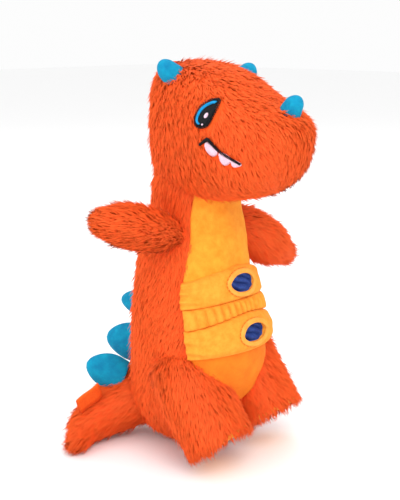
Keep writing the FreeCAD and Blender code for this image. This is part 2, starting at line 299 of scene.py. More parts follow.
def limb_of(body, inset):
    line, radii = LINES[body]
    is_leg = body.endswith("leg")
    return limb_form(line, np.array(radii) * MM, 1.08 if is_leg else 1.0, inset, not is_leg)


def form_of(body, inset):
    if body == "torso":
        return torso_form(inset)
    if body == "head":
        return head_form(inset)
    return limb_of(body, inset)


BODIES = ["torso", "head", *LINES]
forms = {body: form_of(body, PELT_DEPTH) for body in BODIES}
trees = {body: BVHTree.FromPolygons(points.tolist(), faces) for body, (points, faces) in forms.items()}


def inside(body, points):
    """How far inside a body's pelt each point lies; negative is outside."""
    out = np.zeros(len(points))
    for number, point in enumerate(points):
        place, normal, _, _ = trees[body].find_nearest(Vector(point))
        out[number] = (place - Vector(point)).dot(normal)
    return out


# The belly's outline: height and half its width, in mm
PANEL_ROWS = [
    (44, 3), (50, 20), (66, 38), (83, 43), (105, 42.8), (120, 41.3), (135, 38.8), (150, 35.7),
    (166, 32), (190, 27.8), (202, 27),
]
PANEL_TOP = 202 * MM


def panel_half_width(heights):
    levels = np.array(PANEL_ROWS, float) * MM
    return np.interp(heights, levels[:, 0], levels[:, 1])


TORSO_TABLE = torso_rows()


def torso_front(x, z, rise=0.0):
    """The y of the torso's front at x and z, moved outwards by rise."""
    width, depth, back, power = (np.interp(z, TORSO_TABLE[:, 0], TORSO_TABLE[:, i]) for i in (1, 2, 3, 4))
    share = np.clip(np.abs(x) / (width + rise), 0, 0.999)
    return back - (depth + rise) * (1 - share ** power) ** (1 / power)


def torso_layer(x, z, rise):
    """Points of the torso's front moved outwards by rise, so that what lies there keeps its share."""
    width = np.interp(z, TORSO_TABLE[:, 0], TORSO_TABLE[:, 1])
    moved = x * (width + rise) / width
    return np.stack([moved, torso_front(moved, z, rise), z], -1)


def on_belly(points):
    """Which points of the pelt lie under the belly panel."""
    width = np.interp(points[:, 2], TORSO_TABLE[:, 0], TORSO_TABLE[:, 1])
    spread = np.abs(points[:, 0]) * width / (width - PELT_DEPTH)
    near = spread < panel_half_width(points[:, 2]) - 1 * MM
    return (points[:, 1] < 0) & near & (points[:, 2] < PANEL_TOP)


# Camera, lights and floor -----------------------------------------------------------------------

CAMERA_AZIMUTH, CAMERA_ELEVATION = -48.0, 13.0
CAMERA_DISTANCE = 0.703
CAMERA_LENS = 68.4
CAMERA_TARGET = Vector((0.0025, -0.0027, 0.150))


def direction(azimuth, elevation):
    """The unit vector from the object to a place at these angles; azimuth 0 is in front."""
    a, e = math.radians(azimuth), math.radians(elevation)
    return Vector((math.sin(a) * math.cos(e), -math.cos(a) * math.cos(e), math.sin(e)))


def aim(thing, place, target):
    thing.location = place
    thing.rotation_euler = (Vector(target) - Vector(place)).to_track_quat("-Z", "Y").to_euler()


def add_camera():
    data = bpy.data.cameras.new("camera")
    data.lens = CAMERA_LENS
    data.sensor_width = 36
    data.clip_start = 0.01
    camera = bpy.data.objects.new("camera", data)
    bpy.context.scene.collection.objects.link(camera)
    place = CAMERA_TARGET + direction(CAMERA_AZIMUTH, CAMERA_ELEVATION) * CAMERA_DISTANCE
    aim(camera, place, CAMERA_TARGET)
    bpy.context.scene.camera = camera


def add_light(name, azimuth, elevation, distance, width, watts):
    data = bpy.data.lights.new(name, "AREA")
    data.shape = "DISK"
    data.size = width
    data.energy = watts
    light = bpy.data.objects.new(name, data)
    bpy.context.scene.collection.objects.link(light)
    aim(light, Vector((0, 0, 0.14)) + direction(azimuth, elevation) * distance, (0, 0, 0.14))


def add_studio():
    add_light("key", -30, 45, 1.6, 1.2, 12)
    add_light("fill", -100, 20, 1.8, 1.6, 7)
    add_light("back", 140, 50, 1.8, 1.4, 4)
    add_light("top", 0, 88, 1.6, 1.4, 3)
    world = bpy.data.worlds.new("world")
    world.use_nodes = True
    background = world.node_tree.nodes["Background"]
    background.inputs["Color"].default_value = (1, 1, 1, 1)
    background.inputs["Strength"].default_value = 0.98
    bpy.context.scene.world = world
    floor = make_object("floor", [(-6, -6, 0), (6, -6, 0), (6, 6, 0), (-6, 6, 0)], [(0, 1, 2, 3)],
                        plain_material("floor", (0.96, 0.96, 0.96), 0.9))
    bpy.context.scene.view_settings.view_transform = "Standard"


# Materials ---------------------------------------------------------------------------------------


def plain_material(name, colour, roughness=0.8, sheen=0.0):
    """A cloth-like material: its sheen takes on its own colour."""
    material = bpy.data.materials.new(name)
    material.use_nodes = True
    shader = material.node_tree.nodes["Principled BSDF"]
    shader.inputs["Base Color"].default_value = (*colour, 1)
    shader.inputs["Roughness"].default_value = roughness
    shader.inputs["Sheen Weight"].default_value = sheen
    shader.inputs["Sheen Tint"].default_value = (*colour, 1)
    shader.inputs["Specular IOR Level"].default_value = 0.25
    return material


def linear(red, green, blue):
    """A colour given in 0 to 255 as a screen shows it, in the renderer's linear values."""
    out = []
    for value in (red, green, blue):
        share = value / 255
        out.append(share / 12.92 if share <= 0.04045 else ((share + 0.055) / 1.055) ** 2.4)
    return tuple(out)


def ramp_node(tree, stops):
    node = tree.nodes.new("ShaderNodeValToRGB")
    elements = node.color_ramp.elements
    while len(elements) < len(stops):
        elements.new(0.5)
    for element, (place, colour) in zip(elements, stops):
        element.position = place
        element.color = (*colour, 1)
    return node


FUR_ROOT = linear(255, 80, 20)
FUR_MIDDLE = linear(255, 90, 26)
FUR_TIP = linear(255, 106, 40)


def fur_material():
    """Colour runs from root to tip along V, and each tuft's own shade lies at its U."""
    material = plain_material("orange_fur", FUR_MIDDLE, 0.7, 0.1)
    tree = material.node_tree
    shader = tree.nodes["Principled BSDF"]
    place = tree.nodes.new("ShaderNodeUVMap")
    place.uv_map = "OFBake"
    split = tree.nodes.new("ShaderNodeSeparateXYZ")
    tree.links.new(place.outputs["UV"], split.inputs[0])
    along = ramp_node(tree, [(0.0, FUR_ROOT), (0.45, FUR_MIDDLE), (1.0, FUR_TIP)])
    tree.links.new(split.outputs["Y"], along.inputs["Fac"])
    shade = ramp_node(tree, [(0.0, (0.98, 0.88, 0.9)), (1.0, (1.0, 1.0, 1.0))])
    tree.links.new(split.outputs["X"], shade.inputs["Fac"])
    mix = tree.nodes.new("ShaderNodeMix")
    mix.data_type = "RGBA"
    mix.blend_type = "MULTIPLY"
    mix.inputs["Factor"].default_value = 1.0
    tree.links.new(along.outputs["Color"], mix.inputs["A"])
    tree.links.new(shade.outputs["Color"], mix.inputs["B"])
    tree.links.new(mix.outputs["Result"], shader.inputs["Base Color"])
    return material


NAP_SCALE = 1800
NAP_HEIGHT = 0.6 * MM


def cloth_material(name, light, dark, scale, bump, roughness=0.85, sheen=0.3):
    """Short pile: soft patches of two shades, and a fine nap in the bump."""
    material = plain_material(name, light, roughness, sheen)
    tree = material.node_tree
    shader = tree.nodes["Principled BSDF"]
    place = tree.nodes.new("ShaderNodeTexCoord")
    patches = tree.nodes.new("ShaderNodeTexNoise")
    patches.inputs["Scale"].default_value = scale
    patches.inputs["Detail"].default_value = 5
    patches.inputs["Roughness"].default_value = 0.65
    nap = tree.nodes.new("ShaderNodeTexNoise")
    nap.inputs["Scale"].default_value = NAP_SCALE
    nap.inputs["Detail"].default_value = 3
    colour = ramp_node(tree, [(0.32, dark), (0.68, light)])
    relief = tree.nodes.new("ShaderNodeBump")
    relief.inputs["Strength"].default_value = bump
    relief.inputs["Distance"].default_value = NAP_HEIGHT
    tree.links.new(place.outputs["Object"], patches.inputs["Vector"])
    tree.links.new(place.outputs["Object"], nap.inputs["Vector"])
    tree.links.new(patches.outputs["Fac"], colour.inputs["Fac"])
    tree.links.new(colour.outputs["Color"], shader.inputs["Base Color"])
    tree.links.new(nap.outputs["Fac"], relief.inputs["Height"])
    tree.links.new(relief.outputs["Normal"], shader.inputs["Normal"])
    return material


fur_stuff = fur_material()
backing_stuff = cloth_material("fur_backing", linear(255, 96, 30), linear(250, 84, 24), 260, 0.4)
belly_stuff = cloth_material("belly_plush", linear(252, 168, 50), linear(242, 144, 32), 160, 0.8)
# A darker, more orange copy of the belly plush: painted shade under the lower band, and painted reflection
# of the orange fur.
lower_belly_painted_shade_stuff = cloth_material("lower_belly_painted_shade", linear(240, 133, 28), linear(228, 114, 20), 90, 0.6)
band_stuff = cloth_material("band_plush", linear(252, 167, 56), linear(242, 142, 36), 190, 0.9)
hem_stuff = cloth_material("hem_plush", linear(248, 172, 76), linear(242, 154, 54), 200, 0.4)
stitch_stuff = cloth_material("stitch_thread", linear(222, 118, 20), linear(200, 98, 12), 900, 0.3, 0.6)
sole_stuff = cloth_material("sole_plush", linear(254, 172, 62), linear(248, 146, 40), 120, 0.6)
blue_stuff = cloth_material("blue_plush", linear(2, 152, 188), linear(0, 122, 166), 160, 0.7)
navy_stuff = cloth_material("navy_lining", linear(48, 78, 150), linear(28, 46, 112), 240, 0.6)
black_stuff = cloth_material("black_thread", linear(14, 12, 18), linear(4, 4, 7), 900, 0.2, 0.6, 0.0)
eye_blue_stuff = cloth_material(
    "blue_thread", linear(16, 158, 214), linear(8, 128, 190), 900, 0.2, 0.5, 0.1)
tooth_stuff = cloth_material("tooth_thread", linear(246, 218, 230), linear(226, 186, 206), 900, 0.3, 0.5)
label_stuff = cloth_material("label_weave", linear(244, 104, 30), linear(232, 84, 20), 500, 0.5)

# Pelt -----------------------------------------------------------------------------------------


def attach(thing, body):
    """A piece of the torso rides on it, and any other bends from the torso to its body."""
    if body == "torso":
        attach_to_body(thing, "torso")
    else:
        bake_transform(thing)


for body in BODIES:
    pelt = make_object(f"{body}_pelt", *forms[body], backing_stuff)
    attach(pelt, body)
    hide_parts(f"{body}_skin", f"{body}_fill")

# Face --------------------------------------------------------------------------------------------

# Outlines on the right cheek, in mm: y and z. The left cheek's are their mirror images.
EYE = [
    (-50.6, 263.4), (-48.6, 264.2), (-45.6, 263.8), (-40.9, 260.8), (-37.8, 256.2), (-36.6, 250.8),
    (-38.2, 247.3), (-41.9, 246.0), (-45.8, 246.8), (-48, 249.2), (-49.4, 253), (-50.9, 258.5),
]
MOUTH = [
    (-41.8, 234.8), (-44.6, 236.8), (-46.7, 238.3), (-47.5, 238.6), (-48.6, 238), (-52, 235),
    (-55.9, 231.7), (-61, 228.5), (-66, 225.9), (-70, 223.6),
]
TEETH = [
    [(-46.4, 237.9), (-45.6, 233.4), (-47.4, 229.6), (-51.2, 227.4), (-54.8, 229.0), (-56.0, 232.4)],
    [(-56.0, 232.0), (-56.2, 226.0), (-57.6, 223.0), (-60.2, 222.0), (-63.5, 224.1), (-64.8, 227.4)],
    [(-64.2, 227.4), (-64.2, 222.6), (-65.6, 221.2), (-68.2, 221.8), (-70.8, 222.9), (-70.2, 224.4)],
]
THREAD = 0.5  # mm between satin threads


def smooth_outline(points):
    """A closed outline's points, with its corners softened."""
    points = np.array(points, float)
    for _ in range(2):
        after = np.roll(points, -1, 0)
        points = np.stack([points * 0.75 + after * 0.25, points * 0.25 + after * 0.75], 1).reshape(-1, 2)
    return points


def shrunk(points, by):
    """An outline moved inwards by a distance."""
    way = np.roll(points, -1, 0) - np.roll(points, 1, 0)
    way = way / np.maximum(np.linalg.norm(way, axis=1, keepdims=True), 1e-9)
    inward = np.stack([-way[:, 1], way[:, 0]], 1)
    middle = points.mean(0)
    if ((middle - points) * inward).sum() < 0:
        inward = -inward
    return points + inward * by


def crossings(outline, angle, pitch):
    """Straight threads across an outline at an angle, as pairs of ends."""
    c, s = math.cos(angle), math.sin(angle)
    turned = outline @ np.array([(c, -s), (s, c)])
    pairs = []
    for level in np.arange(turned[:, 1].min() + pitch / 2, turned[:, 1].max(), pitch):
        hits = []
        for a, b in zip(turned, np.roll(turned, -1, 0)):
            if (a[1] - level) * (b[1] - level) < 0:
                hits.append(a[0] + (b[0] - a[0]) * (level - a[1]) / (b[1] - a[1]))
        hits.sort()
        for first, last in zip(hits[::2], hits[1::2]):
            if last - first > 0.25:
                ends = np.array([(first, level), (last, level)]) @ np.array([(c, s), (-s, c)])
                pairs.append(ends)
    return pairs


EYE_OUTLINE = smooth_outline(EYE)
TEETH_OUTLINES = [smooth_outline(tooth) for tooth in TEETH]
MOUTH_LINE = smooth_rows(MOUTH, 60)
stitched_head = BVHTree.FromPolygons(head_form(4.2 * MM)[0].tolist(), head_form(4.2 * MM)[1])


def on_cheek(points, sign, rise):
    """Points given in mm as y and z, put on the side of the head with a rise in mm."""
    out = []
    for y, z in points:
        start = Vector((sign * 0.1, y * MM, z * MM))
        place, normal, _, _ = stitched_head.ray_cast(start, Vector((-sign, 0, 0)))
        out.append(np.array(place) + np.array(normal) * rise * MM)
    return np.array(out)


def threads(pairs, sign, rise, width=THREAD * 1.5):
    """Satin threads as thin closed cords that bow over a little between their ends."""
    parts = []
    for first, last in pairs:
        share = np.linspace(0, 1, 7)[:, None]
        line = on_cheek(first * (1 - share) + last * share, sign, rise)
        bow = np.sin(share * math.pi) ** 0.5 * 0.35 * MM
        line[:, 0] += sign * bow[:, 0]
        line[[0, -1], 0] -= sign * 0.5 * MM
        parts.append(rope(line, width / 2 * MM, 5, closed=False))
    return parts


def embroider(name, parts, material, nodes):
    thing = make_object(name, *joined(parts), material)
    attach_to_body(thing, "head")
    if nodes:
        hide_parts(*nodes)


def column(line, half, lean=0.0):
    """Short threads side by side across a line: half their length, and how they lean."""
    ways = np.gradient(line, axis=0)
    ways = ways / np.linalg.norm(ways, axis=1, keepdims=True)
    across = np.stack([-ways[:, 1], ways[:, 0]], 1)
    return [(p - a * h + w * lean, p + a * h - w * lean) for p, a, w, h in zip(line, across, ways, half)]


def inner_line(outline, by, first, last):
    """Part of an outline moved inwards, from one share of it to another."""
    moved = shrunk(outline, by)
    return moved[int(first * len(moved)) : int(last * len(moved))]


GLINT = [(-46.6, 255.2), (-45.3, 255.6), (-44.3, 254.5), (-44.2, 252.8), (-45.2, 252.2), (-46.4, 253.2)]
CRESCENT_THREADS = 46
SPARK = [(-43.9, 248.5), (-43.1, 248.5), (-43.0, 247.7), (-43.8, 247.6)]

for side, sign in SIDES.items():
    eye = threads(crossings(EYE_OUTLINE, math.radians(70), THREAD), sign, 0.0)
    edge = np.concatenate([EYE_OUTLINE, EYE_OUTLINE[:2]])
    eye += threads(column(edge, np.full(len(edge), 0.75), 0.2), sign, 0.35)
    embroider(f"{side}_eye_black", eye, black_stuff, [f"{side}_eye"])
    rim = inner_line(EYE_OUTLINE, 1.9, 0.04, 0.56)
    places, rim_places = np.linspace(0, 1, CRESCENT_THREADS), np.linspace(0, 1, len(rim))
    crescent = np.stack([np.interp(places, rim_places, rim[:, i]) for i in (0, 1)], 1)
    width = 0.35 + 0.6 * np.sin(np.linspace(0.1, 1, CRESCENT_THREADS) * math.pi) ** 0.8
    embroider(f"{side}_eye_blue", threads(column(crescent, width, 0.15), sign, 0.55), eye_blue_stuff,
              [])
    white = threads(crossings(smooth_outline(GLINT), math.radians(60), THREAD), sign, 0.65)
    white += threads(crossings(smooth_outline(SPARK), math.radians(60), THREAD), sign, 0.65)
    embroider(f"{side}_eye_glint", white, tooth_stuff, [])
    teeth = []
    for tooth in TEETH_OUTLINES:
        teeth += threads(crossings(tooth, math.radians(100), 0.62), sign, 0.1, 0.8)
    embroider(f"{side}_tooth_row", teeth, tooth_stuff, [f"{side}_teeth"])
    mouth_half = np.interp(np.linspace(0, 1, 60), (0, 0.15, 0.4, 1), (0.6, 0.95, 0.95, 0.5))
    embroider(f"{side}_mouth_line", threads(column(MOUTH_LINE, mouth_half, 0.1), sign, 0.6), black_stuff,
              [f"{side}_mouth"])


def inside_outline(points, outline):
    """Which points (y and z in mm) lie inside an outline."""
    out = np.zeros(len(points), bool)
    for a, b in zip(outline, np.roll(outline, -1, 0)):
        spans = (a[1] > points[:, 1]) != (b[1] > points[:, 1])
        with np.errstate(divide="ignore", invalid="ignore"):
            meet = (b[0] - a[0]) * (points[:, 1] - a[1]) / (b[1] - a[1]) + a[0]
        out ^= spans & (points[:, 0] < meet)
    return out


def near_stitching(points, grow):
    """Which points on the head lie on its embroidery, grown by a distance."""
    flat = points[:, 1:] / MM
    cheek = np.abs(points[:, 0]) > 22 * MM
    out = inside_outline(flat, shrunk(EYE_OUTLINE, -grow / MM))
    for tooth in TEETH_OUTLINES:
        out |= inside_outline(flat, shrunk(tooth, -grow / MM))
    for spot in MOUTH_LINE[::2]:
        out |= np.linalg.norm(flat - spot, axis=1) < 0.9 + grow / MM
    return out & cheek


# Belly -------------------------------------------------------------------------------------------


def slab(points, inner, rows, columns):
    """A closed sheet from a grid of outer points and the grid of inner points behind it."""
    count = rows * columns
    both = np.concatenate([points.reshape(-1, 3), inner.reshape(-1, 3)])
    faces = []
    for row in range(rows - 1):
        for column in range(columns - 1):
            a = row * columns + column
            faces.append((a, a + 1, a + columns + 1, a + columns))
            faces.append((count + a, count + a + columns, count + a + columns + 1, count + a + 1))
    rim = list(range(columns))
    rim += [row * columns + columns - 1 for row in range(1, rows)]
    rim += [(rows - 1) * columns + column for column in range(columns - 2, -1, -1)]
    rim += [row * columns for row in range(rows - 2, 0, -1)]
    for here, there in zip(rim, rim[1:] + rim[:1]):
        faces.append((here, count + here, count + there, there))
    return outward(both, faces)


def front_slab(name, low, high, rise, thickness, material, rows=40, columns=110, grow=0.0):
    """A piece on the torso's front between two heights, each a function of x, with rise(u, v) outwards."""
    v = np.linspace(0, 1, rows)[:, None] * np.ones((1, columns))
    u = np.linspace(-1, 1, columns)[None, :] * np.ones((rows, 1))
    x = u * 40 * MM
    for _ in range(3):
        z = low(x) * (1 - v) + high(x) * v
        x = u * (panel_half_width(z) + grow)
    height = rise(u, v, x, z)
    outer = torso_layer(x, z, height)
    back = torso_layer(x, z, -thickness)
    thing = make_object(name, *slab(outer, back, rows, columns), material)
    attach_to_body(thing, "torso")
    return thing


def soft_noise(x, z, seed, size):
    """Smooth bumps between -1 and 1, from a few waves in seeded directions."""
    random = seeded(seed)
    total = np.zeros_like(x)
    for _ in range(7):
        turn, phase = random.random(2) * 2 * math.pi
        wave = size * (0.6 + 0.9 * random.random())
        total += np.sin((x * math.cos(turn) + z * math.sin(turn)) * 2 * math.pi / wave + phase)
    return total / 3.5


def pillow(v, squareness=2.6):
    return np.clip(1 - np.abs(2 * v - 1) ** squareness, 0, 1) ** 0.5


BAND_MIDDLE = {"upper": 133.5, "lower": 99.0}  # the height of each band's opening, in mm
BAND_HALF = {"upper": (8.5, 11.5), "lower": (10.0, 13.5)}  # half a band's height at its end and middle
BAND_DROP = {"upper": 8.0, "lower": 6.5}  # how much lower a band's ends are than its middle
BAND_PUFF = {"upper": 4.3 * MM, "lower": 5.5 * MM}
BAND_BASE = -2.0 * MM


def band_edge(band, sign):
    """The height of a band's lower (-1) or upper (1) edge, as a function of x in metres."""
    def edge(x):
        share = np.clip(np.abs(x) / (42 * MM), 0, 1)
        end, middle = BAND_HALF[band]
        half = middle + (end - middle) * share ** 1.5
        return (BAND_MIDDLE[band] - BAND_DROP[band] * share ** 1.8 + sign * half) * MM
    return edge


def band_rise(band):
    """A padded band's height above the belly: a pillow with small tucks at its ends."""
    def rise(u, v, x, z):
        end = np.clip((np.abs(u) - 0.55) / 0.45, 0, 1)
        tucks = np.sin(v * 19 + 5 * u + soft_noise(x, z, 7, 0.03) * 1.5) * 1.4 * MM * end ** 2
        waves = soft_noise(x, z, 11 if band == "upper" else 12, 0.014) * 0.55 * MM
        body = BAND_PUFF[band] * pillow(v) * (1 - 0.45 * end ** 2)
        return BAND_BASE + body + (tucks + waves) * pillow(v)
    return rise


def flat_rise(seed, height, waves):
    def rise(u, v, x, z):
        edge = np.clip((1 - np.abs(u)) / 0.12, 0, 1) ** 0.5
        return height * MM - 1.5 * MM * (1 - edge) + soft_noise(x, z, seed, 0.022) * waves * MM
    return rise


def pleat_rise(u, v, x, z):
    """Small gathers side by side, deepest at the strip's edges."""
    sway = soft_noise(x, z * 0.4, 21, 0.03) * 0.9
    pleats = np.abs(np.sin(x / (5.2 * MM) * math.pi + sway)) ** 0.7
    return -2.0 * MM + (0.6 + 3.0 * pleats) * MM * pillow(v, 4)


PAINTED_SHADE_TOP = 96 * MM  # below this height the belly is the same cloth painted darker and more orange: painted shade under the lower band, with painted orange reflection from the fur

# The panel goes under the bands; each piece is let in a little below its neighbours' edges.
upper_belly = front_slab("belly_cloth", lambda x: 44 * MM + 0 * x, lambda x: PANEL_TOP + 0 * x,
                         flat_rise(3, -2.6, 0.45), 8 * MM, belly_stuff, 150, 100)
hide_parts("belly_panel")
# Faces below the lower band take the darker copy, which is painted shade and painted reflection from the
# fur.
upper_belly.data.materials.append(lower_belly_painted_shade_stuff)
for face in upper_belly.data.polygons:
    face.material_index = int(face.center.z < PAINTED_SHADE_TOP)
OPENING_HALF = np.array((12.0, 6.8)) * MM


def hole_cutter(band):
    """A bar through a band, where its opening is."""
    middle = np.array((0, 0, BAND_MIDDLE[band])) * MM
    ends = [oval_ring(middle + (0, y, 0), (1, 0, 0), UP, *OPENING_HALF, 2.2) for y in (-0.1, -0.03)]
    return make_object(f"{band}_cutter", *loft(ends))


def with_hole(thing, cutter):
    """Cuts an opening through a piece and leaves its mesh plain."""
    change = thing.modifiers.new("opening", "BOOLEAN")
    change.operation = "DIFFERENCE"
    change.object = cutter
    graph = bpy.context.evaluated_depsgraph_get()
    mesh = bpy.data.meshes.new_from_object(thing.evaluated_get(graph))
    thing.modifiers.clear()
    thing.data = mesh
    mesh.shade_smooth()


def band_height(band, x, z):
    """How far the band stands out at points on it."""
    low, high = band_edge(band, -1)(x), band_edge(band, 1)(x)
    v = np.clip((z - low) / (high - low), 0, 1)
    return band_rise(band)(x / panel_half_width(z), v, x, z)


def oval_on_band(band, half_across, half_up, rise, count=72):
    """Points round an opening, on the band's surface."""
    turn = np.linspace(0, 2 * math.pi, count, endpoint=False)
    x = half_across * np.cos(turn)
    z = BAND_MIDDLE[band] * MM + half_up * np.sin(turn)
    return np.stack([x, torso_front(x, z, band_height(band, x, z) + rise), z], 1)


for band in BAND_MIDDLE:
    cutter = hole_cutter(band)
    piece = front_slab(f"{band}_band", band_edge(band, -1), band_edge(band, 1), band_rise(band), 7 * MM,
                       band_stuff, 44, 140, 0.5 * MM)
    with_hole(piece, cutter)
    with_hole(upper_belly, cutter)
    bpy.data.objects.remove(cutter)
    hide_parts(f"{band}_pocket_band")
    wide, tall = OPENING_HALF
    hem = oval_on_band(band, wide + 0.9 * MM, tall + 0.5 * MM, 0.5 * MM)
    groove = oval_on_band(band, wide + 3.4 * MM, tall + 3.0 * MM, 0.5 * MM)
    roll = oval_on_band(band, wide + 2.1 * MM, tall + 1.7 * MM, 0.2 * MM)
    ring = make_object(f"{band}_hem", *joined([rope(hem, 1.0 * MM), rope(roll, 1.5 * MM)]), hem_stuff)
    stitches = []
    for start in range(0, 72, 3):
        stitches.append(rope(groove[start : start + 3], 0.4 * MM, 6, closed=False))
    line = make_object(f"{band}_hem_stitches", *joined(stitches), stitch_stuff)
    for thing in (ring, line):
        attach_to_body(thing, "torso")
    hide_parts(f"{band}_opening_ring")

strip = front_slab("gathered_strip", band_edge("lower", 1), band_edge("upper", -1), pleat_rise, 6 * MM,
                   band_stuff, 16, 260, 0.0)
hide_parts("ruched_strip")


def pocket_bag(band):
    """The blue cloth bunched inside a pocket: soft folds near its mouth, on a closed bag."""
    random = seeded(40 if band == "upper" else 41)
    rows, columns = 26, 44
    radius = np.linspace(0, 1, rows)[:, None] * np.ones((1, columns))
    turn = np.linspace(0, 2 * math.pi, columns, endpoint=False)[None, :] * np.ones((rows, 1))
    wide, tall = OPENING_HALF + 0.6 * MM
    x = wide * radius * np.cos(turn)
    z = tall * radius * np.sin(turn)
    lean = x * 0.5 + z * 0.86
    sway = soft_noise(x, z, 50, 0.02) * 0.7
    fold = np.abs(np.sin(lean / (5.2 * MM) * math.pi + sway + random.random())) ** 0.6
    sink = (4.4 - 3.6 * fold) * MM * np.clip((1 - radius) / 0.15, 0.25, 1)
    z = z + BAND_MIDDLE[band] * MM
    front = np.stack([x, torso_front(x, z, 1.5 * MM) + sink, z], 2)
    back = np.array((0, front[0, 0, 1] + 15 * MM, BAND_MIDDLE[band] * MM))
    rings = list(front[1:])
    for share in (0.3, 0.6, 0.85, 0.97):
        size = math.sqrt(1 - share ** 2)
        rings.append(back + (front[-1] - back) * (size, 1 - share, size))
    points, faces = loft(rings)
    bag = make_object(f"{band}_bag", points, faces, navy_stuff)
    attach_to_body(bag, "torso")
    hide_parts(f"{band}_pocket_lining")


for band in BAND_MIDDLE:
    pocket_bag(band)

# Horns, spikes, soles and label ------------------------------------------------------------------


CONE_COUNT = 40  # points round a horn
SEAM_DENT = 0.07  # how far a horn's seam is drawn in, as a share of its radius


def stuffed_cone(name, base, way, length, radius, body, node, bend=0.0):
    """A small stuffed nub: widest near its root, with a blunt tip and a seam up each side."""
    way = unit(np.array(way, float))
    level = unit(np.cross(UP + (0.01, 0.02, 0), way))
    lift = np.cross(way, level)
    rings = []
    for share in np.linspace(-0.35, 1, 26):
        reach = max(share, 0)
        rounding = math.sqrt(max(1 - max(reach - 0.45, 0) ** 2 / 0.55 ** 2, 0.0009))
        size = radius * (1 - 0.30 * reach) * rounding
        middle = np.array(base) * MM + way * length * share * MM + lift * bend * MM * reach ** 2
        ring = oval_ring(middle, level, lift, size * MM, size * MM, 2.0, CONE_COUNT)
        for place in (0, CONE_COUNT // 2):
            ring[place] += (middle - ring[place]) * SEAM_DENT
        rings.append(ring)
    thing = make_object(name, *loft(rings), blue_stuff)
    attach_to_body(thing, body)
    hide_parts(node)


# Each horn's root, and the way it points; they are sewn on by hand, so they do not quite match
HORN_PLACES = {
    "right": ((-25, -2, 278.5), (-0.62, 0.45, 0.62)),
    "left": ((29.5, -20.5, 275), (0.75, -0.1, 0.62)),
}
for side in SIDES:
    stuffed_cone(f"{side}_nub", *HORN_PLACES[side], 13, 8.2, "head", f"{side}_horn", bend=1.0)
stuffed_cone("nose_nub", (0, -85.5, 257.5), (0, -0.45, 0.85), 11, 7.3, "head", "nose_horn", bend=-1.0)


def stuffed_leaf(name, base, along, across, length, width, body, node):
    """A puffy spike: a rounded leaf, thick in its middle and sewn round its edge."""
    along, across = unit(np.array(along, float)), unit(np.array(across, float))
    wide_way = unit(np.cross(across, along))
    thick_way = np.cross(along, wide_way)
    rings = []
    for share in np.linspace(0, 1, 30):
        half = width / 2 * (1 - share ** 3) ** 0.5 * (0.86 + 0.18 * math.sin(share * math.pi))
        thick = 6.0 * (1 - share ** 3) ** 0.5
        middle = np.array(base) * MM + along * length * share * MM
        half, thick = max(half, 0.3) * MM, max(thick, 0.3) * MM
        rings.append(oval_ring(middle, wide_way, thick_way, half, thick, 1.75, 44))
    thing = make_object(name, *loft(rings), blue_stuff)
    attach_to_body(thing, body)
    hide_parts(node)


stuffed_leaf("spike_1", (-3, 38, 99), (-0.15, 1, 0.05), (1, 0.15, 0), 34, 22, "torso", "back_spike_1")
stuffed_leaf("spike_2", (-8, 38, 69), (-0.35, 1, 0.06), (1, 0.4, 0), 40, 32, "torso", "back_spike_2")
stuffed_leaf("spike_3", (-30, 47, 48), (-0.6, 0.5, 0.34), (0.6, 0.75, -0.1), 31, 27, "tail", "back_spike_3")

# How far ahead of the foot's end each ring of the sole lies, in mm, and its size as a share
SOLE_ROWS = [(-2.5, 0.90), (-2.2, 0.97), (-1, 1.0), (0, 0.99), (0.8, 0.93), (1.5, 0.75), (1.8, 0.4)]
SOLE_AHEAD = 1.0 * MM
SOLE_PROUD = 1.0 * MM  # how much wider the sole is than the pelt's backing

for side in SIDES:
    line = LINES[f"{side}_leg"][0]
    way = unit(line[-1] - line[-2])
    level = unit(np.cross(UP, way))
    rise = np.cross(way, level)
    radius = LEG_RADII[-1] * MM - PELT_DEPTH + SOLE_PROUD
    rings = []
    for ahead, share in SOLE_ROWS:
        middle = line[-1] + way * (ahead * MM + SOLE_AHEAD)
        rings.append(oval_ring(middle, level, rise, radius * 1.08 * share, radius * share, 2.1, 64))
    sole = make_object(f"{side}_foot", *loft(rings), sole_stuff)
    attach(sole, f"{side}_leg")
    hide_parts(f"{side}_sole")


def folded_label():
    """A woven ribbon folded double, its ends caught in the tail's seam."""
    foot = np.array((-61 * MM, 51 * MM, 33 * MM))
    out = unit(np.array((-0.45, -0.25, 0.85)))
    along = unit(np.array((-0.85, 0.1, -0.45)))
    aside = unit(np.cross(along, out))
    profile = []
    for share in np.linspace(0, 1, 15):
        turn = share * math.pi
        profile.append((0.9 * math.cos(turn), 13.4 + 1.2 * math.sin(turn)))
    profile = [(1.3, 0), (1.1, 5), (1.0, 10)] + profile + [(-1.0, 10), (-1.1, 5), (-1.3, 0)]
    profile = np.array(profile)
    ways = unit(np.gradient(profile, axis=0))
    sides = np.stack([-ways[:, 1], ways[:, 0]], 1) * 0.35
    rows, columns = len(profile), 14
    places = (np.linspace(-0.5, 0.5, columns) * 21)[None, :]
    curl = np.sin(places / 21 * 5) * 0.8

    def grid(pairs):
        shift = aside[None, None] * (pairs[:, 0][:, None] + curl)[..., None]
        height = out[None, None] * pairs[:, 1][:, None, None]
        return foot + (shift + height + along[None, None] * (places[..., None] + 0 * height)) * MM

    ribbon = slab(grid(profile + sides), grid(profile - sides), rows, columns)
    label = make_object("label_ribbon", *ribbon, label_stuff)
    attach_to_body(label, "tail")
    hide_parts("tail_label")


folded_label()

# Fur ---------------------------------------------------------------------------------------------

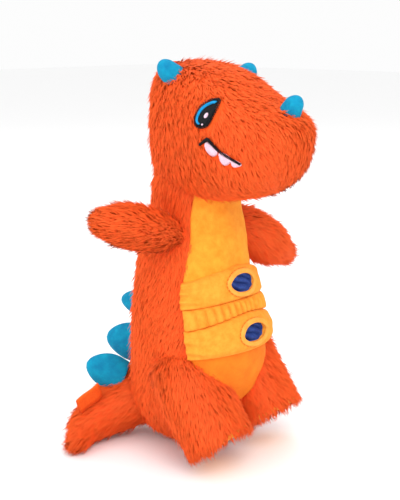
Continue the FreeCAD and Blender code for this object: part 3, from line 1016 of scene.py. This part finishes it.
def groom(points, normals, body):
    """The way the fur lies at each point: a unit vector in the surface."""
    way = np.zeros_like(points)
    if body == "head":
        back = np.clip(points[:, 1] / (20 * MM), 0, 1)[:, None]
        way += np.array((0, -0.55, -0.8)) * (1 - back) + np.array((0, 0.25, -0.9)) * back
    elif body == "torso":
        way += (0, 0.12, -1)
    else:
        line = LINES[body][0]
        way += unit(line[-1] - line[0])
        if body.endswith("leg"):
            way = way + (np.sign(line[0][0]) * 0.25, 0, -0.5)
    way = way - (way * normals).sum(1)[:, None] * normals
    wave = np.sin(points / (11 * MM) @ np.array([(1, 0.4, -0.3), (-0.5, 1, 0.6), (0.3, -0.8, 1)]))
    way = unit(way) + wave * 0.14
    return unit(way - (way * normals).sum(1)[:, None] * normals)


FUR_LENGTH = {"head": 8.5, "torso": 9.5, "tail": 11.5}
LIMB_FUR_LENGTH = 10.5
TUFTS_PER_SQUARE_MM = 0.9
MOST_TUFTS_IN_PIECE = 19000
FRINGE_DEPTH = 9 * MM  # how far from the sole the fur still counts as its fringe
SEEN_DEPTH = 7 * MM  # fur grows this far into another body's pelt, for when a joint bends


def scatter(points, faces, per_area, random):
    """Random places on a mesh, evenly by area: their triangles' corner indices and weights."""
    triangles = []
    for face in faces:
        triangles.append(face[:3])
        if len(face) == 4:
            triangles.append((face[0], face[2], face[3]))
    triangles = np.array(triangles)
    a, b, c = (points[triangles[:, i]] for i in range(3))
    area = np.linalg.norm(np.cross(b - a, c - a), axis=1) / 2
    count = int(area.sum() / MM ** 2 * per_area)
    chosen = random.choice(len(triangles), count, p=area / area.sum())
    u, v = random.random((2, count))
    flip = u + v > 1
    u, v = np.where(flip, 1 - u, u), np.where(flip, 1 - v, v)
    return triangles[chosen], np.stack([1 - u - v, u, v], 1)


def clump(tips, middles, random):
    """Draws each tuft's tip towards the tip of a nearby leading tuft."""
    leaders = random.choice(len(tips), max(1, len(tips) // 12), replace=False)
    tree = KDTree(len(leaders))
    for number, leader in enumerate(leaders):
        tree.insert(tips[leader], number)
    tree.balance()
    nearest = np.array([tree.find(tip)[1] for tip in tips])
    pull = 0.15 + 0.25 * random.random(len(tips))[:, None]
    shift = (tips[leaders[nearest]] - tips) * pull
    return tips + shift, middles + shift * 0.25


TUFT_POINTS = 7
TUFT_FLATNESS = 0.6  # a tuft's thickness as a share of its width, so that it lies on the pile
STRAY_SHARE = 0.05  # how many tufts stand up out of the pile
STRAY_LIFT = 0.45
TUFT_SWAY = 0.2
TUFT_LEAN = (0.37, 0.14)  # how far a tuft's lower and upper parts stand off the pelt
TUFT_PARTS = (0.42, 0.6)  # the lengths of those parts, as shares of the tuft's
ROOT_DEPTH = 0.8 * MM  # a tuft starts this far inside the pelt


def tufts(roots, normals, ways, lengths, widths, random):
    """Closed three-sided tapering tufts that lean over along their ways."""
    count = len(roots)
    side = unit(np.cross(normals, ways))
    sway = side * TUFT_SWAY * random.standard_normal(count)[:, None]
    stray = random.random(count)[:, None] < STRAY_SHARE
    lift = 0.1 * random.standard_normal(count)[:, None] + stray * STRAY_LIFT
    out_way = unit(normals * (TUFT_LEAN[0] + lift) + ways + sway * 0.5)
    tip_way = unit(normals * (TUFT_LEAN[1] + lift) + ways + sway)
    low = roots - normals * ROOT_DEPTH
    middle = roots + out_way * lengths[:, None] * TUFT_PARTS[0]
    tip, middle = clump(middle + tip_way * lengths[:, None] * TUFT_PARTS[1], middle, random)
    levels = []
    for centre, way, width in ((low, out_way, widths), (middle, unit(out_way + tip_way), widths * 1.1)):
        third = unit(np.cross(way, side))
        for turn in (90, 210, 330):
            across, out = math.cos(math.radians(turn)), math.sin(math.radians(turn)) * TUFT_FLATNESS
            levels.append(centre + (side * across + third * out) * width[:, None] / 2)
    levels.append(tip)
    points = np.stack(levels, 1)
    points[:, :, 2] = np.maximum(points[:, :, 2], 0.3 * MM)
    return points


TUFT_FACES = np.array([(0, 1, 4), (0, 4, 3), (1, 2, 5), (1, 5, 4), (2, 0, 3), (2, 3, 5),
                       (3, 4, 6), (4, 5, 6), (5, 3, 6), (2, 1, 0)])
TUFT_ROUNDNESS = 0.16  # how far a tuft's own shape turns its shading away from the pelt's
TUFT_ALONG = np.array((0.02, 0.02, 0.02, 0.45, 0.45, 0.45, 0.98))  # root to tip, for the colour


def tuft_object(name, points, ups, shades, material):
    """A triangle mesh made straight from arrays, with a UV layer of shade and place along the tuft."""
    count = len(points)
    triangles = (np.arange(count)[:, None, None] * TUFT_POINTS + TUFT_FACES).reshape(-1, 3)
    uv = np.zeros((count, TUFT_POINTS, 2))
    uv[:, :, 0] = shades[:, None]
    uv[:, ::2, 0] += 0.004
    uv[:, :, 1] = TUFT_ALONG
    mesh = bpy.data.meshes.new(name)
    mesh.vertices.add(count * TUFT_POINTS)
    mesh.vertices.foreach_set("co", points.astype(np.float32).ravel())
    mesh.loops.add(triangles.size)
    mesh.loops.foreach_set("vertex_index", triangles.astype(np.int32).ravel())
    mesh.polygons.add(len(triangles))
    mesh.polygons.foreach_set("loop_start", np.arange(0, triangles.size, 3, dtype=np.int32))
    mesh.update(calc_edges=True)
    layer = mesh.uv_layers.new(name="OFBake")
    layer.data.foreach_set("uv", uv.reshape(-1, 2)[triangles.ravel()].astype(np.float32).ravel())
    mesh.materials.append(material)
    mesh.shade_smooth()
    spread = points - points.mean(1)[:, None, :]
    spread[:, :6] = points[:, :6] - points[:, :6].reshape(-1, 2, 3, 3).mean(2).repeat(3, 1)
    spread[:, 6] = 0
    soft = unit(ups[:, None, :] + unit(spread) * TUFT_ROUNDNESS)
    mesh.normals_split_custom_set_from_vertices(soft.reshape(-1, 3).tolist())
    thing = bpy.data.objects.new(name, mesh)
    bpy.context.scene.collection.objects.link(thing)
    return thing


def grow_fur(body, number):
    random = seeded(100 + number)
    points, faces = forms[body]
    normals = vertex_normals(points, faces)
    corners, weights = scatter(points, faces, TUFTS_PER_SQUARE_MM, random)
    roots = (points[corners] * weights[:, :, None]).sum(1)
    ups = unit((normals[corners] * weights[:, :, None]).sum(1))
    keep = np.ones(len(roots), bool)
    for other in BODIES:
        if other != body:
            keep[keep] = inside(other, roots[keep]) < SEEN_DEPTH
    if body == "torso":
        keep &= ~on_belly(roots)
    if body.endswith("leg"):
        line = LINES[body][0]
        end_way = unit(line[-1] - line[-2])
        keep &= ((roots - line[-1]) * end_way).sum(1) < -0.5 * MM
    if body == "head":
        keep &= ~near_stitching(roots, 0.6 * MM)
    roots, ups = roots[keep], ups[keep]
    ways = groom(roots, ups, body)
    lengths = FUR_LENGTH.get(body, LIMB_FUR_LENGTH) * MM * (0.78 + 0.4 * random.random(len(roots)))
    if body == "head":
        for share in (0.3, 0.6, 1.0):
            over = near_stitching(roots + ways * lengths[:, None] * share, 0.5 * MM)
            lengths = np.where(over, lengths * 0.5, lengths)
    lit = ups
    if body.endswith("leg"):
        # The fringe round the sole takes its light as the sole does, so that its inner side isn't black.
        to_sole = ((LINES[body][0][-1] - roots) * end_way).sum(1)
        lengths = lengths * np.interp(to_sole, (0, 6 * MM), (0.95, 1))
        fringe = np.interp(to_sole, (0, FRINGE_DEPTH), (0.8, 0))[:, None]
        lit = unit(ups * (1 - fringe) + end_way * fringe)
    widths = (0.7 + 0.4 * random.random(len(roots))) * MM * 1.0
    shades = random.random(len(roots)) * 0.96 + 0.02
    shapes = tufts(roots, ups, ways, lengths, widths, random)
    order = np.argsort(np.arctan2(roots[:, 0], roots[:, 1]), kind="stable")
    groups = np.array_split(order, -(-len(order) // MOST_TUFTS_IN_PIECE))
    for part, group in enumerate(groups):
        name = f"{body}_fur" if len(groups) == 1 else f"{body}_fur_{part + 1}"
        fur = tuft_object(name, shapes[group], lit[group], shades[group], fur_stuff)
        attach(fur, body)
    return len(roots)


for number, body in enumerate(BODIES):
    print("tufts", body, grow_fur(body, number))

add_camera()
add_studio()
